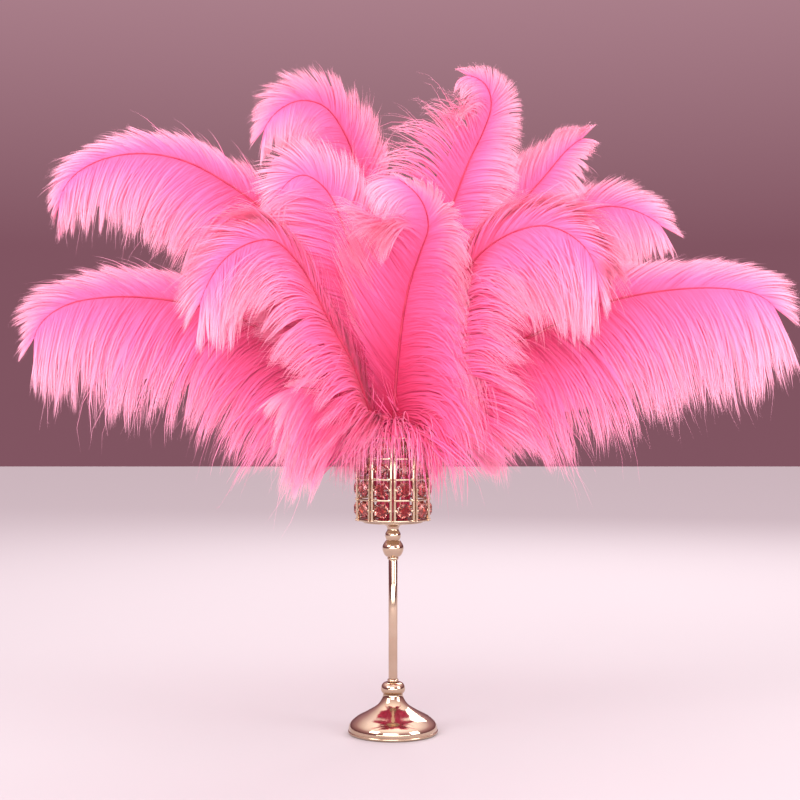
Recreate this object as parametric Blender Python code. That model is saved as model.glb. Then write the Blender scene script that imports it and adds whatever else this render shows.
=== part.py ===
"""A bunch of dyed ostrich plumes standing in a gold table stand with a beaded cup.

Units are metres, +Z is up, and the origin is the centre of the foot's flat underside.
The stand is a stack of turned pieces. Its cup is a ring of ladder-shaped panels around a
round floor, with one faceted bead held between the bars of every cell. Each plume is a single closed
blade: a round quill that stands on the cup's floor and widens into a vane.
"""

import math

import bmesh
import bpy
import numpy as np

MM = 0.001
GAP = 0.3 * MM

# Stand: heights are the tops of the pieces, radii are the widest places.
FOOT_RADIUS = 45 * MM
FOOT_TOP = 38.4 * MM
FOOT_NECK_RADIUS = 9.9 * MM
COLLAR_TOP = 50 * MM
FOOT_RING_TOP = 53.4 * MM
RING_RADIUS = 5.6 * MM
STEM_RADIUS = 4.5 * MM
STEM_TOP = 172 * MM
STEM_RING_TOP = 175.3 * MM
KNOB_TOP = 192 * MM
SEAT_TOP = 211.2 * MM
SEAT_RADIUS = 30 * MM
FLOOR_THICKNESS = 2 * MM
RING_BEVEL = 0.8 * MM
TURNED_SIDES = 16
STEM_SIDES = 12
FOOT_SIDES = 24
FLOOR_SIDES = 20

# Outer curves of the turned pieces between those heights, as (radius, height) in millimetres.
FOOT_BELL = ((43.2, 8.5), (37, 14.8), (26, 20.8), (15, 28), (10.6, 35))
FOOT_LIP = 2 * MM
COLLAR_BULGE = ((11.7, 41), (12.1, 43.5), (11.4, 47))
COLLAR_TOP_RADIUS = 9.4 * MM
KNOB_BASE_RADIUS = 6.6 * MM
KNOB_BULGE = ((8.6, 177.5), (10.4, 182), (10.4, 186), (8.4, 190))
KNOB_NECK_RADIUS = 6.6 * MM
SEAT_FLARE = ((7.6, 194.8), (7.6, 198.6), (5.8, 202), (6.2, 205), (10, 207.6), (22, 209))
SEAT_RIM_BOTTOM = 209.6 * MM

# Cup: ladder panels stand side by side on a ring of flat sides, with a corner of the ring in front.
PANEL_COUNT = 10
CELLS_PER_PANEL = 4
CUP_RADIUS = 38.5 * MM
CUP_BOTTOM = 212 * MM
PANEL_HEIGHT = 84 * MM
PANEL_WIDTH = 21.6 * MM
BAR = 2.2 * MM
BEAD_RADIUS = 7.6 * MM
BEAD_TABLE_RADIUS = 4.4 * MM
BEAD_THICKNESS = 7 * MM
BEAD_SIDES = 8
BEAD_REACH = PANEL_WIDTH / 2 - BAR + 0.8 * MM

# Plumes: quills stand on the floor in two rings and lean out through the cup's mouth.
INNER_RING = 6 * MM
OUTER_RING = 13 * MM
MOUTH_SPREAD = 2.0
MOUTH_Z = 300 * MM
QUILL_RADIUS = 1.7 * MM
QUILL_LENGTH = 130 * MM
QUILL_STANDOFF = 0.2 * MM
VANE_START = 84 * MM
VANE_HALF_THICKNESS = 0.6 * MM
LANES_PER_VANE = 3
QUILL_STATIONS = 3
VANE_STATIONS = 8
BLADE_START = 142 * MM
BLADE_SPREAD = 120 * MM

# Barbs: the angle at which they leave the shaft, in degrees, and how strongly they bend. Barbs of
# a lower vane hang down. Barbs of an upper vane lie on their neighbours and sweep to the tip.
# A barb always heads at least a little away from the shaft, so it never crosses to the other vane.
ROOT_ANGLE = 50.0
HANG_ANGLE = 8.0
TIP_CLOSING = 0.15
TIP_CLOSING_POWER = 2.5
ROOT_SOFTNESS = 1.9
HANG_SOFTNESS = 0.7
STIFF_START = 0.35
SOFT_GAIN = 1.3
UPPER_HOLD = 0.7
UPPER_SWEEP = 0.75
LOWER_SWEEP = 0.12
OWN_SIDE = 0.7

# Barb length along the shaft, as shares of the longest barb and of the vane's length.
BASE_FULLNESS = 0.65
FILLING_LENGTH = 0.3
ROUNDING_START = 0.55
END_START = 0.72
END_DEPTH = 0.6

# On the inner side of a curl a vane keeps to this share of the curl's radius, so that it doesn't
# run through itself. The curl is measured over a short stretch of the shaft to both sides.
CURL_ROOM = 0.5
CURL_STRETCH = 30 * MM

# One row a plume: name, ring its quill stands in, quill azimuth in degrees, shaft points in
# millimetres, direction of the first vane at the base and at the tip, and the longest barbs
# of the first and the second vane in millimetres, and the share of that length left at the tip.
PLUMES = (
    ("left_upper", OUTER_RING, 165,
     ((-45, 12, 400), (-105, 22, 500), (-190, 25, 565), (-230, 25, 580),
      (-270, 25, 582), (-304, 24, 573), (-328, 21, 555), (-338, 18, 530)),
     (0.2, 0.3, 0.9), (0, 0.3, 1), 55, 100, 0.7),
    ("left_lower", OUTER_RING, 195,
     ((-90, -5, 372), (-150, -10, 412), (-205, -12, 428), (-240, -14, 433),
      (-280, -15, 434), (-320, -17, 427), (-344, -18, 412), (-354, -19, 394)),
     (0, 0.3, 1), (0, 0.1, 1), 65, 125, 0.72),
    ("left_front", OUTER_RING, 225,
     ((-38, -40, 365), (-62, -55, 410), (-88, -68, 460), (-113, -80, 483),
      (-137, -86, 479), (-160, -90, 462), (-180, -92, 425)),
     (0.2, 1, 0.1), (-0.2, 0.3, 1), 80, 110, 0.7),
    ("left_low", OUTER_RING, 210,
     ((-22, -18, 318), (-46, -30, 334), (-72, -38, 342), (-98, -42, 344)),
     (0, 0.5, 1), (0, 0.3, 1), 24, 105, 0.6),
    ("left_top", INNER_RING, 144,
     ((-10, 45, 434), (-24, 63, 516), (-35, 66, 562), (-49, 60, 606),
      (-70, 46, 634), (-94, 32, 638), (-116, 22, 626), (-130, 16, 606)),
     (1, 0.2, 0), (0.3, 0.2, 1), 60, 84, 0.7),
    ("left_mid", INNER_RING, 216,
     ((-10, 0, 352), (-28, 2, 432), (-48, 4, 502), (-68, 4, 544), (-90, 0, 557), (-112, -6, 540)),
     (1, 0.3, 0.5), (0.3, 0.3, 1), 75, 120, 0.7),
    ("left_back", OUTER_RING, 135,
     ((-30, 40, 360), (-66, 60, 410), (-103, 70, 489), (-134, 72, 533),
      (-163, 72, 543), (-187, 70, 529)),
     (0, 0.5, 1), (0, 0.5, 1), 50, 100, 0.7),
    ("front", INNER_RING, 270,
     ((7, -24, 391), (15, -40, 440), (27, -60, 475), (34, -75, 497), (27, -88, 520), (6, -98, 538)),
     (1, -0.7, 0), (0.7, 0, 0.7), 130, 118, 0.45),
    ("top", INNER_RING, 72,
     ((22, 22, 403), (40, 34, 473), (58, 38, 524), (78, 38, 577),
      (92, 34, 606), (100, 26, 632), (94, 16, 650), (76, 6, 658)),
     (1, 0, -0.2), (0.8, 0.2, 0.8), 68, 110, 0.42),
    ("right_top", INNER_RING, 0,
     ((59, 48, 404), (112, 68, 506), (140, 74, 545), (160, 74, 568), (182, 70, 594), (196, 64, 604)),
     (1, 0.2, -0.6), (0.8, 0.1, -0.8), 84, 92, 0.5),
    ("right_back", OUTER_RING, 15,
     ((50, 48, 360), (115, 85, 445), (178, 98, 514), (214, 100, 536),
      (240, 100, 538), (264, 98, 531), (284, 96, 518)),
     (0, 0.5, 1), (0, 0.3, 1), 62, 80, 0.8),
    ("right_front", OUTER_RING, 315,
     ((34, -14, 332), (58, -30, 410), (74, -44, 460), (94, -56, 481), (122, -64, 495),
      (146, -70, 498), (170, -75, 488), (187, -80, 469), (194, -82, 442)),
     (-0.3, 0.5, 0.8), (0.3, 0.5, 0.6), 84, 125, 0.7),
    ("right_lower", OUTER_RING, 345,
     ((67, -8, 362), (137, -10, 395), (206, -10, 427), (246, -10, 437),
      (296, -10, 443), (336, -12, 442), (362, -14, 436), (378, -14, 424)),
     (0, 0.3, 1), (0, 0.2, 1), 68, 130, 0.85),
    ("right_low", OUTER_RING, 0,
     ((30, 4, 318), (56, 10, 334), (84, 14, 342), (108, 16, 344)),
     (0, 0.5, 1), (0, 0.3, 1), 24, 92, 0.6),
    ("back", OUTER_RING, 75,
     ((0, 45, 370), (5, 90, 460), (8, 130, 510), (10, 175, 525), (10, 215, 505), (10, 240, 465)),
     (-1, 0, 0), (-1, 0, 0), 100, 100, 0.7),
    ("back_left", OUTER_RING, 105,
     ((-30, 55, 360), (-80, 110, 450), (-125, 165, 500), (-155, 205, 505),
      (-175, 235, 480), (-185, 250, 445)),
     (-0.8, -0.6, 0.2), (-0.8, -0.6, 0.4), 95, 110, 0.7),
    ("back_right", OUTER_RING, 45,
     ((32, 55, 360), (80, 115, 440), (125, 170, 490), (155, 210, 495),
      (175, 238, 470), (185, 252, 435)),
     (-0.7, 0.7, 0.2), (-0.7, 0.7, 0.2), 95, 110, 0.7),
    ("back_low", INNER_RING, 108,
     ((0, 60, 345), (10, 130, 395), (15, 200, 420), (15, 245, 405), (15, 275, 365)),
     (-1, 0, 0), (-1, 0, 0), 95, 110, 0.7),
)

# Vanes that hang more than their place on the shaft alone would make them: how much more at the
# base and at the tip.
DROOPING_VANES = {("top", -1): (1.2, 0), ("front", 1): (0.9, 0), ("front", -1): (-0.3, 1.3),
                  ("left_top", -1): (0.5, 0)}
# Vanes that narrow in their own way: the share left at the tip, and where the narrowing starts.
OWN_ROUNDING = {("front", -1): (0.5, 0.5), ("front", 1): (0.12, 0.25),
                ("right_top", 1): (0.4, 0.6), ("right_top", -1): (0.4, 0.62)}


def clear_scene():
    for item in list(bpy.data.objects):
        bpy.data.objects.remove(item, do_unlink=True)


def make_material(name, colour, roughness, metallic):
    material = bpy.data.materials.new(name)
    material.use_nodes = True
    shader = material.node_tree.nodes["Principled BSDF"]
    shader.inputs["Base Color"].default_value = (*colour, 1.0)
    shader.inputs["Roughness"].default_value = roughness
    shader.inputs["Metallic"].default_value = metallic
    return material


def link_object(name, mesh, material, smooth_angle=None):
    thing = bpy.data.objects.new(name, mesh)
    bpy.context.scene.collection.objects.link(thing)
    if not mesh.materials:
        mesh.materials.append(material)
    if smooth_angle is not None:
        mesh.shade_smooth()
        mesh.set_sharp_from_angle(angle=math.radians(smooth_angle))
    return thing


# ---------------------------------------------------------------- smooth curves

def unit(vectors):
    return vectors / np.linalg.norm(vectors, axis=-1, keepdims=True)


def smooth_curve(points, count):
    """Points spaced evenly by length on a smooth curve through the given points, and its length."""
    points = np.asarray(points, float)
    knots = np.concatenate([[0], np.cumsum(np.sqrt(np.linalg.norm(np.diff(points, axis=0), axis=1)))])
    before = (points[1:-1] - points[:-2]) / (knots[1:-1] - knots[:-2])[:, None]
    after = (points[2:] - points[1:-1]) / (knots[2:] - knots[1:-1])[:, None]
    share = ((knots[1:-1] - knots[:-2]) / (knots[2:] - knots[:-2]))[:, None]
    slopes = np.zeros_like(points)
    slopes[1:-1] = after * share + before * (1 - share)
    slopes[0] = 2 * (points[1] - points[0]) / (knots[1] - knots[0]) - slopes[1]
    slopes[-1] = 2 * (points[-1] - points[-2]) / (knots[-1] - knots[-2]) - slopes[-2]
    fine = np.linspace(0, knots[-1], 800)
    left = np.clip(np.searchsorted(knots, fine, side="right") - 1, 0, len(points) - 2)
    span = (knots[left + 1] - knots[left])[:, None]
    t = (fine - knots[left])[:, None] / span
    curve = ((2 * t**3 - 3 * t**2 + 1) * points[left]
             + (t**3 - 2 * t**2 + t) * span * slopes[left]
             + (3 * t**2 - 2 * t**3) * points[left + 1]
             + (t**3 - t**2) * span * slopes[left + 1])
    lengths = np.concatenate([[0], np.cumsum(np.linalg.norm(np.diff(curve, axis=0), axis=1))])
    even = np.linspace(0, lengths[-1], count)
    resampled = [np.interp(even, lengths, curve[:, axis]) for axis in range(points.shape[1])]
    return np.stack(resampled, axis=1), lengths[-1]


def ease(x):
    x = np.clip(x, 0, 1)
    return x * x * (3 - 2 * x)


# ---------------------------------------------------------------- stand

def turned(name, outline, material, sides=TURNED_SIDES):
    """A solid of revolution from (radius, height) points that run up its outside."""
    mesh = bpy.data.meshes.new(name)
    work = bmesh.new()
    rings = []
    for radius, height in outline:
        ring = []
        for index in range(sides):
            angle = 2 * math.pi * index / sides
            ring.append(work.verts.new((radius * math.cos(angle), radius * math.sin(angle), height)))
        rings.append(ring)
    work.faces.new(list(reversed(rings[0])))
    work.faces.new(rings[-1])
    for low, high in zip(rings, rings[1:]):
        for index in range(sides):
            following = (index + 1) % sides
            work.faces.new((low[index], low[following], high[following], high[index]))
    work.to_mesh(mesh)
    work.free()
    return link_object(name, mesh, material, smooth_angle=50)


def curved_outline(points, count):
    curve, _ = smooth_curve(points, count)
    return [tuple(point) for point in curve]


def in_metres(points):
    return [(radius * MM, height * MM) for radius, height in points]


def make_stand(gold):
    foot_side = curved_outline(
        [(FOOT_RADIUS, FOOT_LIP)] + in_metres(FOOT_BELL) + [(FOOT_NECK_RADIUS, FOOT_TOP)], 8)
    turned("foot", [(FOOT_RADIUS, 0.0)] + foot_side, gold, sides=FOOT_SIDES)
    collar_side = curved_outline(
        [(FOOT_NECK_RADIUS, FOOT_TOP + GAP)] + in_metres(COLLAR_BULGE) + [(COLLAR_TOP_RADIUS, COLLAR_TOP)], 6)
    turned("foot_collar", collar_side, gold)
    turned("foot_ring", ring_outline(COLLAR_TOP + GAP, FOOT_RING_TOP), gold, sides=STEM_SIDES)
    stem = ((STEM_RADIUS, FOOT_RING_TOP + GAP), (STEM_RADIUS, STEM_TOP))
    turned("stem", stem, gold, sides=STEM_SIDES)
    turned("stem_ring", ring_outline(STEM_TOP + GAP, STEM_RING_TOP), gold, sides=STEM_SIDES)
    knob_side = curved_outline(
        [(KNOB_BASE_RADIUS, STEM_RING_TOP + GAP)] + in_metres(KNOB_BULGE) + [(KNOB_NECK_RADIUS, KNOB_TOP)], 7)
    turned("knob", knob_side, gold)
    seat_side = curved_outline(
        [(KNOB_NECK_RADIUS, KNOB_TOP + GAP)] + in_metres(SEAT_FLARE) + [(SEAT_RADIUS, SEAT_RIM_BOTTOM)], 8)
    turned("cup_seat", seat_side + [(SEAT_RADIUS, SEAT_TOP)], gold)
    floor_radius = cup_apothem() - BAR - 2 * GAP
    floor_bottom = CUP_BOTTOM - GAP
    floor_side = ((floor_radius, floor_bottom), (floor_radius, floor_bottom + FLOOR_THICKNESS))
    turned("cup_floor", floor_side, gold, sides=FLOOR_SIDES)


def ring_outline(bottom, top):
    return ((RING_RADIUS - RING_BEVEL, bottom), (RING_RADIUS, bottom + RING_BEVEL),
            (RING_RADIUS, top - RING_BEVEL), (RING_RADIUS - RING_BEVEL, top))


# ---------------------------------------------------------------- cup panels

def cup_apothem():
    return CUP_RADIUS * math.cos(math.pi / PANEL_COUNT)


def cell_pitch():
    return (PANEL_HEIGHT - BAR) / CELLS_PER_PANEL


def frame_mesh():
    """A ladder: a flat plate in the YZ plane with one square opening for each cell."""
    mesh = bpy.data.meshes.new("ladder_frame")
    work = bmesh.new()
    across = (-PANEL_WIDTH / 2, -PANEL_WIDTH / 2 + BAR, PANEL_WIDTH / 2 - BAR, PANEL_WIDTH / 2)
    up = [0.0]
    for cell in range(CELLS_PER_PANEL + 1):
        up.append(cell * cell_pitch() + BAR)
        if cell < CELLS_PER_PANEL:
            up.append((cell + 1) * cell_pitch())
    corners = [[work.verts.new((-BAR / 2, y, z)) for y in across] for z in up]
    for row in range(len(up) - 1):
        for column in range(len(across) - 1):
            is_opening = column == 1 and row % 2 == 1
            if not is_opening:
                work.faces.new((corners[row][column], corners[row + 1][column],
                                corners[row + 1][column + 1], corners[row][column + 1]))
    plate = bmesh.ops.extrude_face_region(work, geom=list(work.faces))
    moved = [item for item in plate["geom"] if isinstance(item, bmesh.types.BMVert)]
    bmesh.ops.translate(work, verts=moved, vec=(BAR, 0, 0))
    bmesh.ops.dissolve_limit(work, angle_limit=math.radians(1), verts=list(work.verts), edges=list(work.edges))
    bmesh.ops.recalc_face_normals(work, faces=list(work.faces))
    work.to_mesh(mesh)
    work.free()
    return mesh


def bead_mesh(height):
    """An eight-sided faceted bead whose two side corners reach into the bars that hold it."""
    mesh = bpy.data.meshes.new("bead")
    work = bmesh.new()
    rings = []
    for radius, depth in ((BEAD_TABLE_RADIUS, -BEAD_THICKNESS / 2), (BEAD_RADIUS, 0.0),
                          (BEAD_TABLE_RADIUS, BEAD_THICKNESS / 2)):
        ring = []
        for side in range(BEAD_SIDES):
            angle = 2 * math.pi * side / BEAD_SIDES
            reach = BEAD_REACH if depth == 0.0 and side % (BEAD_SIDES // 2) == 0 else radius
            ring.append(work.verts.new((depth, reach * math.cos(angle), height + radius * math.sin(angle))))
        rings.append(ring)
    work.faces.new(rings[0])
    work.faces.new(rings[-1])
    for low, high in zip(rings, rings[1:]):
        for side in range(BEAD_SIDES):
            following = (side + 1) % BEAD_SIDES
            work.faces.new((low[side], low[following], high[following], high[side]))
    bmesh.ops.triangulate(work, faces=list(work.faces))
    bmesh.ops.recalc_face_normals(work, faces=list(work.faces))
    work.to_mesh(mesh)
    work.free()
    return mesh


def panel_mesh(gold):
    """The ladder and its beads, joined into one closed body."""
    panel = link_object("ladder_frame", frame_mesh(), gold)
    helpers = []
    for cell in range(CELLS_PER_PANEL):
        height = cell * cell_pitch() + (cell_pitch() + BAR) / 2
        helpers.append(link_object("bead", bead_mesh(height), gold))
    for helper in helpers:
        joint = panel.modifiers.new("join", "BOOLEAN")
        joint.operation = "UNION"
        joint.object = helper
    settled = panel.evaluated_get(bpy.context.evaluated_depsgraph_get())
    mesh = bpy.data.meshes.new_from_object(settled)
    work = bmesh.new()
    work.from_mesh(mesh)
    bmesh.ops.triangulate(work, faces=list(work.faces))
    work.to_mesh(mesh)
    work.free()
    for thing in [panel] + helpers:
        bpy.data.objects.remove(thing, do_unlink=True)
    return mesh


def make_panels(gold):
    mesh = panel_mesh(gold)
    distance = cup_apothem() - BAR / 2
    for index in range(PANEL_COUNT):
        angle = 2 * math.pi * index / PANEL_COUNT
        panel = link_object(f"panel_{index + 1:02d}", mesh, gold)
        panel.location = (distance * math.cos(angle), distance * math.sin(angle), CUP_BOTTOM)
        panel.rotation_euler = (0, 0, angle)


# ---------------------------------------------------------------- plumes

def shaft_of(ring_radius, azimuth, points, base_across, tip_across):
    """The shaft's points, directions, vane directions and lengths, from the quill's foot to the tip."""
    angle = math.radians(azimuth)
    outward = np.array((math.cos(angle), math.sin(angle), 0))
    foot = outward * ring_radius + (0, 0, CUP_BOTTOM + FLOOR_THICKNESS + QUILL_STANDOFF)
    mouth = outward * ring_radius * MOUTH_SPREAD + (0, 0, MOUTH_Z)
    route = [foot, mouth] + [np.array(point) * MM for point in points]
    path, length = smooth_curve(route, 200)
    along = unit(np.gradient(path, axis=0))
    distance = np.linspace(0, length, len(path))
    growth = np.clip((distance - VANE_START) / (length - VANE_START), 0, 1)[:, None]
    lean = unit(np.array(base_across, float)) * (1 - growth) + unit(np.array(tip_across, float)) * growth
    across = unit(lean - np.sum(lean * along, axis=1)[:, None] * along)
    return path, along, across, distance


def sample(table, distance, where):
    return np.stack([np.interp(where, distance, table[:, axis]) for axis in range(3)], axis=1)


def barb_share(name, side, growth, tip_share):
    """Barb length as a share of the longest: short at the base, full in the middle, round at the tip."""
    tip_share, start = OWN_ROUNDING.get((name, side), (tip_share, ROUNDING_START))
    filling = np.minimum(1, growth / FILLING_LENGTH + BASE_FULLNESS)
    rounding = 1 - (1 - tip_share) * ease((growth - start) / (1 - start))
    ending = 1 - END_DEPTH * ease((growth - END_START) / (1 - END_START))
    return filling * rounding * ending


def barb_points(shaft, where, side, droop, length, steps):
    """Points along barbs that leave the shaft at an angle and bend down or along the plume."""
    path, along_path, across_path, distance = shaft
    growth = (where - VANE_START) / (distance[-1] - VANE_START)
    along = unit(sample(along_path, distance, where))
    across = unit(sample(across_path, distance, where))
    hang = np.clip(droop[0] * (1 - growth**2) + droop[1] * growth**2 - side * across[:, 2], -1, 1)
    upper = ((1 - hang) / 2)[:, None]
    closing = 1 - TIP_CLOSING * growth**TIP_CLOSING_POWER
    angle = np.radians((ROOT_ANGLE + HANG_ANGLE * hang) * closing)[:, None]
    heading = np.cos(angle) * along + side * np.sin(angle) * across
    softness = ROOT_SOFTNESS + HANG_SOFTNESS * hang
    points = [sample(path, distance, where)]
    for step in range(steps):
        share = (step + 0.5) / steps
        ahead = unit(sample(along_path, distance, where + length * share))
        weight = (1 - UPPER_HOLD * upper) * np.array((0.0, 0.0, -1.0))
        pull = weight + (LOWER_SWEEP + UPPER_SWEEP * upper) * ahead
        bend = (softness * (STIFF_START + SOFT_GAIN * share) / steps)[:, None]
        heading = unit(heading + bend * (pull - np.sum(heading * pull, axis=1)[:, None] * heading))
        missing = np.maximum(0, OWN_SIDE - side * np.sum(heading * across, axis=1))
        heading = unit(heading + side * missing[:, None] * across)
        points.append(points[-1] + heading * (length / steps)[:, None])
    return np.stack(points, axis=1)


def room_in_curl(along, across, distance, where, side):
    """The longest reach a vane may have at each station before it meets the shaft's curl."""
    turning = np.gradient(along, distance, axis=0)
    toward = np.maximum(side * np.sum(turning * across, axis=1), 1e-3)
    tightest = [toward[np.abs(distance - place) < CURL_STRETCH].max() for place in where]
    return CURL_ROOM / np.array(tightest)


def blade_rings(name, shaft, first_barbs, second_barbs, tip_share):
    """Closed cross-sections of the plume, each a ring of points around its thin blade."""
    path, along, across, distance = shaft
    length = distance[-1]
    lanes = 2 * LANES_PER_VANE
    fraction = np.arange(lanes + 1) / lanes * math.pi
    rings = []
    for where in np.linspace(0, QUILL_LENGTH, QUILL_STATIONS):
        root = sample(path, distance, [where])[0]
        side = sample(across, distance, [where])[0]
        front = np.cross(sample(along, distance, [where])[0], side)
        lane_points = root - np.cos(fraction)[:, None] * side * QUILL_RADIUS
        lift = np.sin(fraction)[:, None] * front * QUILL_RADIUS
        rings.append(np.concatenate([lane_points + lift, (lane_points - lift)[-2:0:-1]]))
    where = np.linspace(BLADE_START, length, VANE_STATIONS)
    growth = (where - VANE_START) / (length - VANE_START)
    spread = np.minimum(1, (where - QUILL_LENGTH) / BLADE_SPREAD)
    first_width = first_barbs * spread * barb_share(name, 1, growth, tip_share)
    second_width = second_barbs * spread * barb_share(name, -1, growth, tip_share)
    first_reach = np.minimum(first_width, room_in_curl(along, across, distance, where, 1))
    second_reach = np.minimum(second_width, room_in_curl(along, across, distance, where, -1))
    first_droop = DROOPING_VANES.get((name, 1), (0, 0))
    second_droop = DROOPING_VANES.get((name, -1), (0, 0))
    first = barb_points(shaft, where, 1, first_droop, first_reach, LANES_PER_VANE)
    second = barb_points(shaft, where, -1, second_droop, second_reach, LANES_PER_VANE)
    sheet = np.concatenate([second[:, ::-1], first[:, 1:]], axis=1)
    front = unit(np.cross(np.gradient(sheet, axis=0), np.gradient(sheet, axis=1)))
    lift = front * (np.sin(fraction) * VANE_HALF_THICKNESS)[None, :, None]
    for top, bottom in zip(sheet + lift, sheet - lift):
        rings.append(np.concatenate([top, bottom[-2:0:-1]]))
    return rings


def plume_mesh(name, rings):
    """Skins the rings and closes both ends with strips between the front and the back row."""
    mesh = bpy.data.meshes.new(name)
    work = bmesh.new()
    rows = [[work.verts.new(point) for point in ring] for ring in rings]
    count = len(rows[0])
    for low, high in zip(rows, rows[1:]):
        for index in range(count):
            following = (index + 1) % count
            work.faces.new((low[index], high[index], high[following], low[following]))
    for index in range(count // 2):
        strip = list(dict.fromkeys((index, index + 1, (count - index - 1) % count, (count - index) % count)))
        work.faces.new([rows[0][place] for place in strip])
        work.faces.new([rows[-1][place] for place in reversed(strip)])
    bmesh.ops.triangulate(work, faces=list(work.faces))
    work.to_mesh(mesh)
    work.free()
    return mesh


def make_plumes(pink):
    for name, ring, azimuth, points, base_across, tip_across, first_barbs, second_barbs, tip_share in PLUMES:
        shaft = shaft_of(ring, azimuth, points, base_across, tip_across)
        rings = blade_rings(name, shaft, first_barbs * MM, second_barbs * MM, tip_share)
        link_object(f"plume_{name}", plume_mesh(name, rings), pink, smooth_angle=60)


def main():
    clear_scene()
    gold = make_material("polished gold plate", (0.83, 0.62, 0.38), 0.12, 1.0)
    pink = make_material("dyed plume", (0.95, 0.22, 0.47), 0.75, 0.0)
    make_stand(gold)
    make_panels(gold)
    make_plumes(pink)


main()
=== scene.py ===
# %% [markdown]
# # A bunch of ostrich plumes in a gold stand
# The real thing is a hotel-ballroom centrepiece: dyed ostrich wing plumes stand loose in a small cup,
# and the cup sits on a slim gold-plated stem with a heavy flared foot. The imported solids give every
# piece its place. This lesson rebuilds what the eye sees on top of them: turned metal with soft
# shoulders, a cup of beaded ladders, and plumes made of thousands of separate soft barbs.

# %% Load the frame
import math

import bmesh
import bpy
import numpy as np
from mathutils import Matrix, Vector


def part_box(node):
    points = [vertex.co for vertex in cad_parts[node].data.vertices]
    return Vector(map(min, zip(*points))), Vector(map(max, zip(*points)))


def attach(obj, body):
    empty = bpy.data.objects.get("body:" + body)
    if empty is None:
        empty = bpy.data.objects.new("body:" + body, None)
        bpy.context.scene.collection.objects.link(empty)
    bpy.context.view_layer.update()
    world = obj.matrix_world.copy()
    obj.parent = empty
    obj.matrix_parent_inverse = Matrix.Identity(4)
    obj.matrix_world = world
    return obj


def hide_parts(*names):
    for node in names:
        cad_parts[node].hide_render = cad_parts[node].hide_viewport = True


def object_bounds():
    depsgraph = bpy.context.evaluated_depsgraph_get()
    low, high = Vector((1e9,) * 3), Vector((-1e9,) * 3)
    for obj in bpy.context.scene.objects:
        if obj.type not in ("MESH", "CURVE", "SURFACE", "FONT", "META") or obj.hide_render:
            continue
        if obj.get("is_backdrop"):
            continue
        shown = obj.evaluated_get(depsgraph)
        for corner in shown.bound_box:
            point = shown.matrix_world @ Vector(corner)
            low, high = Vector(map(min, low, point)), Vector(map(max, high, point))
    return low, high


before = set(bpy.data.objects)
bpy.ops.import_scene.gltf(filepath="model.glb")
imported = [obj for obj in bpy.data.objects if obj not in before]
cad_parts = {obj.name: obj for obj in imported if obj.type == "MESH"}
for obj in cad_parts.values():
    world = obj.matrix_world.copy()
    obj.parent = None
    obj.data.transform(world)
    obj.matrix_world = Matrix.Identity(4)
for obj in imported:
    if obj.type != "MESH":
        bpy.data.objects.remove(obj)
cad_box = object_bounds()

MM = 0.001
print("pieces in the frame:", len(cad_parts))
print("frame box in metres:", [[round(value, 3) for value in corner] for corner in cad_box])

# %% [markdown]
# ## Camera
# The centrepiece is looked at straight on, from a metre and a half away and at half its height, so
# the foot shows a thin ellipse and the plumes spread to both edges. A longish lens keeps the near
# plumes from looking swollen.

# %% Camera
CAMERA_DISTANCE = 1.5
CAMERA_HEIGHT = 0.332
CAMERA_SIDE = 0.007
FIELD_WIDTH = 0.8

camera_data = bpy.data.cameras.new("camera")
camera_data.sensor_width = 36.0
camera_data.lens = camera_data.sensor_width * CAMERA_DISTANCE / FIELD_WIDTH
camera = bpy.data.objects.new("camera", camera_data)
camera.location = (CAMERA_SIDE, -CAMERA_DISTANCE, CAMERA_HEIGHT)
camera.rotation_euler = (math.radians(90), 0, 0)
bpy.context.scene.collection.objects.link(camera)
bpy.context.scene.camera = camera
print("lens in mm:", round(camera_data.lens, 1))

# %% [markdown]
# Two small helpers come first. One puts a new thing into the scene, and one starts a material from a
# colour and a roughness, to which nodes are added later.

# %% Helpers for things and materials
def link(thing):
    bpy.context.scene.collection.objects.link(thing)
    return thing


def plain_material(name, colour, roughness):
    material = bpy.data.materials.new(name)
    material.use_nodes = True
    shader = material.node_tree.nodes["Principled BSDF"]
    shader.inputs["Base Color"].default_value = (*colour, 1.0)
    shader.inputs["Roughness"].default_value = roughness
    return material


# %% [markdown]
# ## Floor and light
# A pale floor and large area lamps make a calm studio. Large lamps matter twice here: they keep the
# shadows between the barbs soft, and they are what the polished metal mirrors as long highlights.

# %% Floor, room and lamps
FLOOR_COLOUR = (0.46, 0.42, 0.44)
FLOOR_ROUGHNESS = 0.9
FLOOR_HALF_SIZE = 6.0
FLOOR_GAP = 0.5 * MM
# Height above the horizon, where 1 is straight up, and the room's colour there.
ROOM_STOPS = ((0.1, (0.22, 0.09, 0.12)), (0.45, (0.62, 0.36, 0.42)), (1.0, (2.1, 1.95, 2.0)))
MIDDLE = (0, 0, 0.42)
# Name, place, target, width and height, and power of each lamp.
LAMPS = (
    ("front", (-0.3, -2.6, 1.1), MIDDLE, (1.8, 1.2), 38),
    ("key", (-1.7, -1.2, 1.5), MIDDLE, (1.0, 1.0), 27),
    ("fill", (1.8, -1.0, 0.9), MIDDLE, (0.9, 1.2), 24),
    ("back", (0.4, 1.8, 1.6), MIDDLE, (1.6, 0.9), 30),
    ("low", (0.0, -2.2, 0.25), (0, 0, 0.3), (4.2, 0.3), 16),
)


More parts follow.
